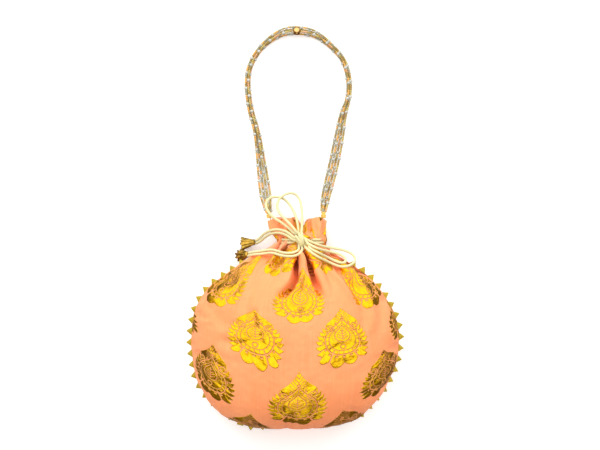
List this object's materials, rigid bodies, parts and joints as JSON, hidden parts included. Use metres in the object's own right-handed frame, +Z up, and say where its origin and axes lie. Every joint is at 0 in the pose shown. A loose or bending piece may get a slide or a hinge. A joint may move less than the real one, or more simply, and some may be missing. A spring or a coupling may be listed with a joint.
{
  "type": "potli bag",
  "caption": "Round gathered drawstring pouch in foil-printed silk, with a bow-tied satin cord, bell tassels, pointed seam lace and a bead handle.",
  "frame": {"origin": "centre of the bag's footprint on the surface that it lies on, measured without the free cords and the handle", "axes": "+Z up out of the bag's front, +Y along the bag from its bottom to its cinched neck and handle, +X to the right seen from the front"},
  "size_m": [0.2324, 0.4313, 0.0852],
  "materials": {
    "silk": "slubbed art silk with gold foil print",
    "lining": "plain thin lining cloth",
    "lace": "woven metallic gold lace",
    "satin": "smooth cream satin cord",
    "latkan": "gold tissue cloth",
    "gold": "polished gold-coloured bead",
    "beads": "strung pearl and metallic seed beads",
    "thread": "wrapped yellow thread"
  },
  "bodies": {
    "root": {"front_panel": "silk", "back_panel": "silk", "front_lining": "lining", "back_lining": "lining", "gota_lace": "lace", "bow_knot": "satin", "drawcord_a_neck": "satin", "drawcord_a_top_loop": "satin", "drawcord_a_side_loop": "satin", "drawcord_a_upper_tail": "satin", "drawcord_a_lower_tail": "satin", "drawcord_b_neck": "satin", "drawcord_b_top_loop": "satin", "drawcord_b_side_loop": "satin", "drawcord_b_upper_tail": "satin", "drawcord_b_lower_tail": "satin", "latkan_upper_bell": "latkan", "latkan_upper_bead": "gold", "latkan_lower_bell": "latkan", "latkan_lower_bead": "gold", "handle_strand_1": "beads", "handle_strand_2": "beads", "handle_strand_3": "beads", "handle_strand_4": "beads", "handle_ball": "gold", "handle_tie_left": "thread", "handle_tie_right": "thread"}
  },
  "joints": []
}
